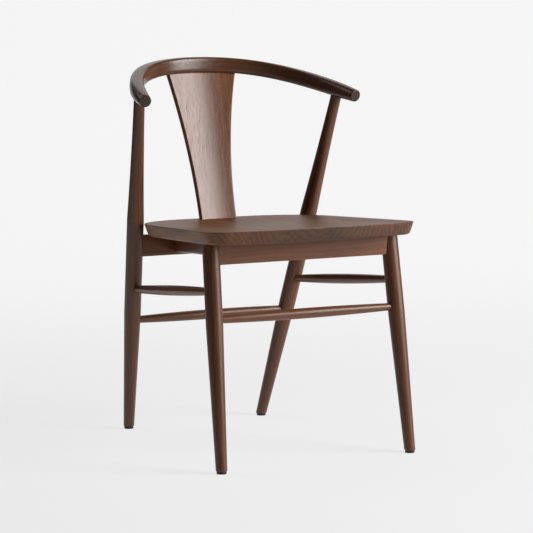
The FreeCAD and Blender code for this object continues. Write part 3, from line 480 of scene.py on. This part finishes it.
def turned(name, start, end, stations, offset, level=None, count=64):
    """A turned piece round the line from start to end. stations are (distance from start, radius).
    level cuts the first ring off at that height above the floor, with a small chamfer."""
    run = (end - start).normalized()
    first = run.cross(Vector((0, 1, 0))).normalized()
    second = run.cross(first)
    rings_out, grain_out = [], []

    def ring(distance, radius, cut=None):
        points, flat = [], []
        for step in range(count):
            turn = 2 * pi * step / count
            around = first * cos(turn) + second * sin(turn)
            point = start + run * distance + around * radius
            if cut is not None:
                point = point + run * ((cut - point.z) / run.z)
            points.append(point)
            along = (point - start).dot(run)
            flat.append(Vector((along, radius * cos(turn), radius * sin(turn))))
        rings_out.append(points)
        grain_out.append(flat)

    if level is not None:
        radius = stations[0][1]
        ring(0, radius * FOOT_HEART, level)
        for inset, rise in FOOT_CHAMFER:
            ring(0, radius - inset, level + rise)
    for distance, radius in stations:
        ring(distance, radius)
    return loft(name, rings_out, shifted(grain_out, offset))


def tapered(stations, steps):
    """Radii between stations (distance, radius), joined by straight lines."""
    out = []
    for (d0, r0), (d1, r1) in zip(stations, stations[1:]):
        out += [(d0 + (d1 - d0) * k / steps, r0 + (r1 - r0) * k / steps) for k in range(steps)]
    return out + [stations[-1]]


SIDES = {"left": -1, "right": 1}
LEG_FOOT_RADIUS, LEG_RADIUS = 0.01105, 0.0165
LEG_TAPER, LEG_INTO_SEAT = 0.276, 0.004
leg_axis = {side: (Vector((side * 0.2105, -0.244, 0)), Vector((side * 0.19875, -0.1809, SEAT_UNDER)))
            for side in SIDES.values()}
leg_finish = walnut_finish("leg_walnut", (0.19, 0.067, 0.025), (0.070, 0.023, 0.008), figure_strength=0.5,
                           ring_spacing=0.008, sheen_roughness=0.34)
for index, (word, side) in enumerate(SIDES.items()):
    foot, top = leg_axis[side]
    length = (top - foot).length
    stations = tapered([(FOOT_START, LEG_FOOT_RADIUS), (LEG_TAPER, LEG_RADIUS),
                        (length + LEG_INTO_SEAT, LEG_RADIUS)], 14)
    leg = turned(f"front_leg_{word}_turned", foot, top, stations, offset=(5 + index, 0.03, 0.02 * side),
                 level=FOOT_LEVEL)
    stand_for(leg, f"front_leg_{word}", leg_finish)


# Rear posts
# Turned in one length from the floor to the bow: tapered to the foot, swelling to full thickness
# under the seat and drawn in hollow above it to a slim neck that enters the bow.

POST_FOOT_RADIUS, POST_RADIUS, NECK_RADIUS = 0.0111, 0.017, 0.01075
POST_TAPER, POST_SHOULDER = 0.262, 0.470
NECK_HOLLOW, NECK_STEPS = 0.0010, 24
meeting = bow_point(0.861)[0]
post_axis = {side: (Vector((side * 0.157, 0.261, 0)), Vector((side * meeting.x, meeting.y, meeting.z)))
             for side in SIDES.values()}
post_finish = walnut_finish("post_walnut", (0.18, 0.062, 0.022), (0.070, 0.022, 0.007), figure_strength=0.5,
                            ring_spacing=0.008, sheen_roughness=0.30)
for index, (word, side) in enumerate(SIDES.items()):
    foot, top = post_axis[side]
    length = (top - foot).length
    stations = tapered([(FOOT_START, POST_FOOT_RADIUS), (POST_TAPER, POST_RADIUS),
                        (POST_SHOULDER, POST_RADIUS)], 12)
    for step in range(1, NECK_STEPS + 1):
        share = step / NECK_STEPS
        hollow = NECK_HOLLOW * 4 * share * (1 - share)
        stations.append((POST_SHOULDER + (length - POST_SHOULDER) * share,
                         POST_RADIUS + (NECK_RADIUS - POST_RADIUS) * share - hollow))
    post = turned(f"rear_post_{word}_turned", foot, top, stations, offset=(8 + index, 0.025, 0.03 * side),
                  level=FOOT_LEVEL)
    stand_for(post, f"rear_post_{word}", post_finish)


# Stretchers
# Four turned rods, thickest in the middle, whose ends go into round holes in the legs and posts.

FRONT_ROD_HEIGHT, REAR_ROD_HEIGHT = 0.2855, 0.2365
SIDE_ROD_FRONT, SIDE_ROD_BACK = 0.3385, 0.302
ROD_END_RADIUS, ROD_MIDDLE_RADIUS, ROD_SHORT = 0.00685, 0.0102, 0.004
ROD_STEPS = 40


def on_line(foot, top, height):
    """The point of the line from foot to top at a height above the floor."""
    return foot + (top - foot) * (height / top.z)


stretcher_finish = walnut_finish("stretcher_walnut", (0.23, 0.086, 0.036), (0.105, 0.037, 0.014),
                                 figure_strength=0.4, ring_spacing=0.007, sheen_roughness=0.24)
rods = {
    "front_stretcher": [on_line(*leg_axis[side], FRONT_ROD_HEIGHT) for side in (-1, 1)],
    "rear_stretcher": [on_line(*post_axis[side], REAR_ROD_HEIGHT) for side in (-1, 1)],
}
for word, side in SIDES.items():
    rods[f"side_stretcher_{word}"] = [on_line(*leg_axis[side], SIDE_ROD_FRONT),
                                      on_line(*post_axis[side], SIDE_ROD_BACK)]
for index, (word, (start, end)) in enumerate(rods.items()):
    length = (end - start).length
    stations = []
    for step in range(ROD_STEPS + 1):
        share = step / ROD_STEPS
        swell = max(0.0, 1 - (2 * share - 1) ** 2)
        stations.append((ROD_SHORT + (length - 2 * ROD_SHORT) * share,
                         ROD_END_RADIUS + (ROD_MIDDLE_RADIUS - ROD_END_RADIUS) * swell))
    rod = turned(word + "_turned", start, end, stations, offset=(12 + index, 0.02, 0.015 * index), count=48)
    stand_for(rod, word, stretcher_finish)


# Aprons
# Four boards under the seat, 20 mm thick, their ends running into the legs, the posts or the rear
# apron, and their lower edges eased.

APRON_THICK, APRON_EASE = 0.020, 0.0018
INTO_SEAT = 0.0005
APRON_STEPS, FACE_STEPS = 24, 6
FRONT_APRON_LOW, REAR_APRON_LOW = 0.388, 0.3715
SIDE_APRON_LOW_FRONT, SIDE_APRON_LOW_BACK = 0.407, 0.377
SIDE_APRON_BACK_X, SIDE_APRON_SHORT = 0.099, 0.009


def board(name, start, end, low_start, low_end, offset):
    """A board standing on the line from start to end, up to the seat's underside."""
    run = (end - start).normalized()
    across = Vector((-run.y, run.x, 0))
    half = APRON_THICK / 2
    rings_out, grain_out = [], []
    for step in range(APRON_STEPS + 1):
        share = step / APRON_STEPS
        base = start.lerp(end, share)
        low = low_start + (low_end - low_start) * share
        ring, flat = [], []

        def add(x, z):
            point = base + across * x
            ring.append(Vector((point.x, point.y, z)))
            flat.append(Vector(((base - start).length, z, x)))

        for sx, angle in ((-1, pi), (1, 1.5 * pi)):
            for k in range(6):
                turn = angle + pi / 2 * k / 5
                add(sx * (half - APRON_EASE) + APRON_EASE * cos(turn),
                    low + APRON_EASE + APRON_EASE * sin(turn))
        for sx, rows in ((1, range(1, FACE_STEPS + 1)), (-1, range(FACE_STEPS, 0, -1))):
            point = base + across * (sx * half)
            high = SEAT_UNDER - point.y * tan(SEAT_TILT) + INTO_SEAT
            for k in rows:
                add(sx * half, low + APRON_EASE + (high - low - APRON_EASE) * k / FACE_STEPS)
        rings_out.append(ring)
        grain_out.append(flat)
    return loft(name, rings_out, shifted(grain_out, offset))


apron_finish = walnut_finish("apron_walnut", (0.27, 0.100, 0.042), (0.13, 0.046, 0.018), figure_strength=0.5,
                             ring_spacing=0.010, sheen_roughness=0.26)
front_leg_x, front_y = on_line(*leg_axis[1], 0.40425).xy
rear_post_x, rear_y = on_line(*post_axis[1], 0.396).xy
aprons = {
    "front_apron": ((-front_leg_x, front_y), (front_leg_x, front_y), FRONT_APRON_LOW, FRONT_APRON_LOW),
    "rear_apron": ((-rear_post_x, rear_y), (rear_post_x, rear_y), REAR_APRON_LOW, REAR_APRON_LOW),
}
for word, side in SIDES.items():
    aprons[f"side_apron_{word}"] = ((side * front_leg_x, front_y),
                                    (side * SIDE_APRON_BACK_X, rear_y - SIDE_APRON_SHORT),
                                    SIDE_APRON_LOW_FRONT, SIDE_APRON_LOW_BACK)
for index, (word, (start, end, low_start, low_end)) in enumerate(aprons.items()):
    piece = board(word + "_board", Vector((*start, 0)), Vector((*end, 0)), low_start, low_end,
                  offset=(17 + index, -0.36, 0.028))
    stand_for(piece, word, apron_finish)


# Blocks, dowels, glides, screws and nails
# Corner blocks and dowels of pale unstained hardwood hidden under the seat, nylon glides under the
# feet, and plated steel screws and nails. They keep their CAD shapes and get their finishes here.

def plain_finish(name, colour, roughness, metallic=0.0, vary=0.25, stretch=(40.0, 400.0, 400.0)):
    """A plain finish whose tone and roughness vary a little, with as many specks per metre as stretch."""
    material = bpy.data.materials.new(name)
    material.use_nodes = True
    tree = material.node_tree
    shader = tree.nodes["Principled BSDF"]
    coords = put(tree, "ShaderNodeTexCoord").outputs["Object"]
    speck = noise(tree, coords, stretch, detail=3.0)
    low = tuple(c * (1 - vary) for c in colour)
    tint = colour_mix(tree, speck, (*low, 1.0), (*colour, 1.0))
    tree.links.new(tint, shader.inputs["Base Color"])
    worn = span(tree, speck, 0.2, 0.8, roughness - 0.06, roughness + 0.06)
    tree.links.new(worn, shader.inputs["Roughness"])
    bump = put(tree, "ShaderNodeBump", {"Height": speck, "Strength": 0.2, "Distance": 0.0001})
    tree.links.new(bump.outputs["Normal"], shader.inputs["Normal"])
    shader.inputs["Metallic"].default_value = metallic
    return material


METAL_SPECKS, NYLON_SPECKS = (500.0,) * 3, (300.0,) * 3
finishes = {
    "block_wood": plain_finish("block_wood", (0.42, 0.27, 0.15), roughness=0.6),
    "dowel_wood": plain_finish("dowel_wood", (0.55, 0.38, 0.22), roughness=0.6),
    # Nearly black, matt from wear.
    "glide_nylon": plain_finish("glide_nylon", (0.020, 0.017, 0.015), roughness=0.55, vary=0.4,
                                stretch=NYLON_SPECKS),
    "screw_steel": plain_finish("screw_steel", (0.55, 0.54, 0.50), roughness=0.35, metallic=1.0, vary=0.2,
                                stretch=METAL_SPECKS),
    "nail_steel": plain_finish("nail_steel", (0.45, 0.44, 0.43), roughness=0.4, metallic=1.0, vary=0.3,
                               stretch=METAL_SPECKS),
}
for row in frame["record"]["subparts"]:
    finish = finishes.get(row["material_slot"])
    if finish:
        mesh = frame["nodes"][row["node"]].data
        mesh.materials.clear()
        mesh.materials.append(finish)


# Studio
# A seamless pale sheet: floor, then from two metres behind the chair a gentle curve up to a wall.
# A large softbox stands at the chair's front left, and a weaker one high behind it fills the shade.

VIEW_TURN = 0.514036
FLOOR_FRONT, CURVE_START, CURVE_RADIUS, WALL_HEIGHT, SHEET_HALF_WIDTH = -7.0, 2.0, 1.6, 5.0, 1.9
FLOOR_STEPS, CURVE_STEPS, WALL_STEPS = 12, 24, 6

view_way = Vector((sin(VIEW_TURN), cos(VIEW_TURN), 0))
side_way = Vector((view_way.y, -view_way.x, 0))
profile = [(FLOOR_FRONT + (CURVE_START - FLOOR_FRONT) * k / FLOOR_STEPS, 0.0) for k in range(FLOOR_STEPS + 1)]
for k in range(1, CURVE_STEPS + 1):
    turn = pi / 2 * k / CURVE_STEPS
    profile.append((CURVE_START + CURVE_RADIUS * sin(turn), CURVE_RADIUS * (1 - cos(turn))))
profile += [(CURVE_START + CURVE_RADIUS, CURVE_RADIUS + WALL_HEIGHT * k / WALL_STEPS)
            for k in range(1, WALL_STEPS + 1)]
sweep_points = [view_way * out + side_way * x + Vector((0, 0, up)) for out, up in profile
                for x in (-SHEET_HALF_WIDTH, SHEET_HALF_WIDTH)]
sweep_faces = [(2 * k, 2 * k + 1, 2 * k + 3, 2 * k + 2) for k in range(len(profile) - 1)]
sweep_mesh = bpy.data.meshes.new("studio_sweep")
sweep_mesh.from_pydata([tuple(p) for p in sweep_points], [], sweep_faces)
sweep_mesh.shade_smooth()
sweep = bpy.data.objects.new("studio_sweep", sweep_mesh)
bpy.context.scene.collection.objects.link(sweep)
paper = bpy.data.materials.new("studio_paper")
paper.use_nodes = True
paper_tree = paper.node_tree
paper_shader = paper_tree.nodes["Principled BSDF"]
paper_shader.inputs["Base Color"].default_value = (0.78, 0.78, 0.78, 1.0)
paper_shader.inputs["Roughness"].default_value = 0.9
paper_shader.inputs["Specular IOR Level"].default_value = 0.1
# To the camera and in reflections the sheet shows a glowing white of painted light, brighter behind the
# chair than under it as a painted falloff of the light, with the shadows on it.
on_sheet = put(paper_tree, "ShaderNodeTexCoord").outputs["Object"]
behind = put(paper_tree, "ShaderNodeVectorMath", {0: on_sheet, 1: tuple(view_way)},
             operation="DOT_PRODUCT").outputs["Value"]
# Painted light: an emitted white that grows from under the chair to behind it, standing in for how the light
# falls on the sheet.
painted_falloff_glow = span(paper_tree, behind, 0.3, 2.8, 0.735, 0.845)
shown = put(paper_tree, "ShaderNodeBsdfPrincipled", {"Base Color": (0.20, 0.20, 0.20, 1.0), "Roughness": 0.9,
                                                     "Specular IOR Level": 0.0,
                                                     "Emission Color": (1.0, 1.0, 1.0, 1.0),
                                                     "Emission Strength": painted_falloff_glow})
path = put(paper_tree, "ShaderNodeLightPath").outputs
seen = calc(paper_tree, "MAXIMUM", calc(paper_tree, "MAXIMUM", path["Is Camera Ray"], path["Is Glossy Ray"]),
            path["Is Transmission Ray"])
sheet = put(paper_tree, "ShaderNodeMixShader", {0: seen, 1: paper_shader.outputs[0], 2: shown.outputs[0]})
paper_tree.links.new(sheet.outputs[0], paper_tree.nodes["Material Output"].inputs["Surface"])
sweep_mesh.materials.append(paper)

CHAIR_MIDDLE = Vector((0, 0, 0.45))


def softbox(name, place, width, height, power):
    """A rectangular lamp turned towards the middle of the chair."""
    lamp = bpy.data.lights.new(name, "AREA")
    lamp.shape = "RECTANGLE"
    lamp.size, lamp.size_y = width, height
    lamp.energy = power
    box = bpy.data.objects.new(name, lamp)
    box.location = place
    box.rotation_euler = (CHAIR_MIDDLE - Vector(place)).to_track_quat("-Z", "Y").to_euler()
    bpy.context.scene.collection.objects.link(box)


softbox("window_right", (1.97, -1.86, 1.35), width=1.5, height=1.7, power=90.0)
softbox("fill_behind", (-1.5, 1.7, 2.5), width=2.0, height=2.0, power=17.0)

# Beyond the sheet the room is dim, and shows as plain white to the camera only.
ROOM_LIGHT, ROOM_SHOWN = 0.04, 0.85
world = bpy.data.worlds.new("studio_air")
world.use_nodes = True
bpy.context.scene.world = world
air = world.node_tree
air.nodes["Background"].inputs["Color"].default_value = (1.0, 1.0, 1.0, 1.0)
air_seen = put(air, "ShaderNodeLightPath").outputs["Is Camera Ray"]
air_strength = calc(air, "MULTIPLY_ADD", air_seen, ROOM_SHOWN, ROOM_LIGHT)
air.links.new(air_strength, air.nodes["Background"].inputs["Strength"])


# Camera
# Long lens a little above the bow, off the chair's front right corner as the sitter sees it.

FOCAL_PIXELS, PICTURE_PIXELS, SENSOR_WIDTH = 2350, 533, 36.0
VIEW_DOWN = 0.116283

camera = bpy.data.cameras.new("camera")
camera.sensor_width = SENSOR_WIDTH
camera.lens = FOCAL_PIXELS * SENSOR_WIDTH / PICTURE_PIXELS
camera.clip_end = 60.0
eye = bpy.data.objects.new("camera", camera)
eye.location = (-2.27195, -4.0660, 0.899336)
eye.rotation_euler = (pi / 2 - VIEW_DOWN, 0, -VIEW_TURN)
bpy.context.scene.collection.objects.link(eye)
bpy.context.scene.camera = eye
bpy.context.scene.view_settings.view_transform = "Standard"
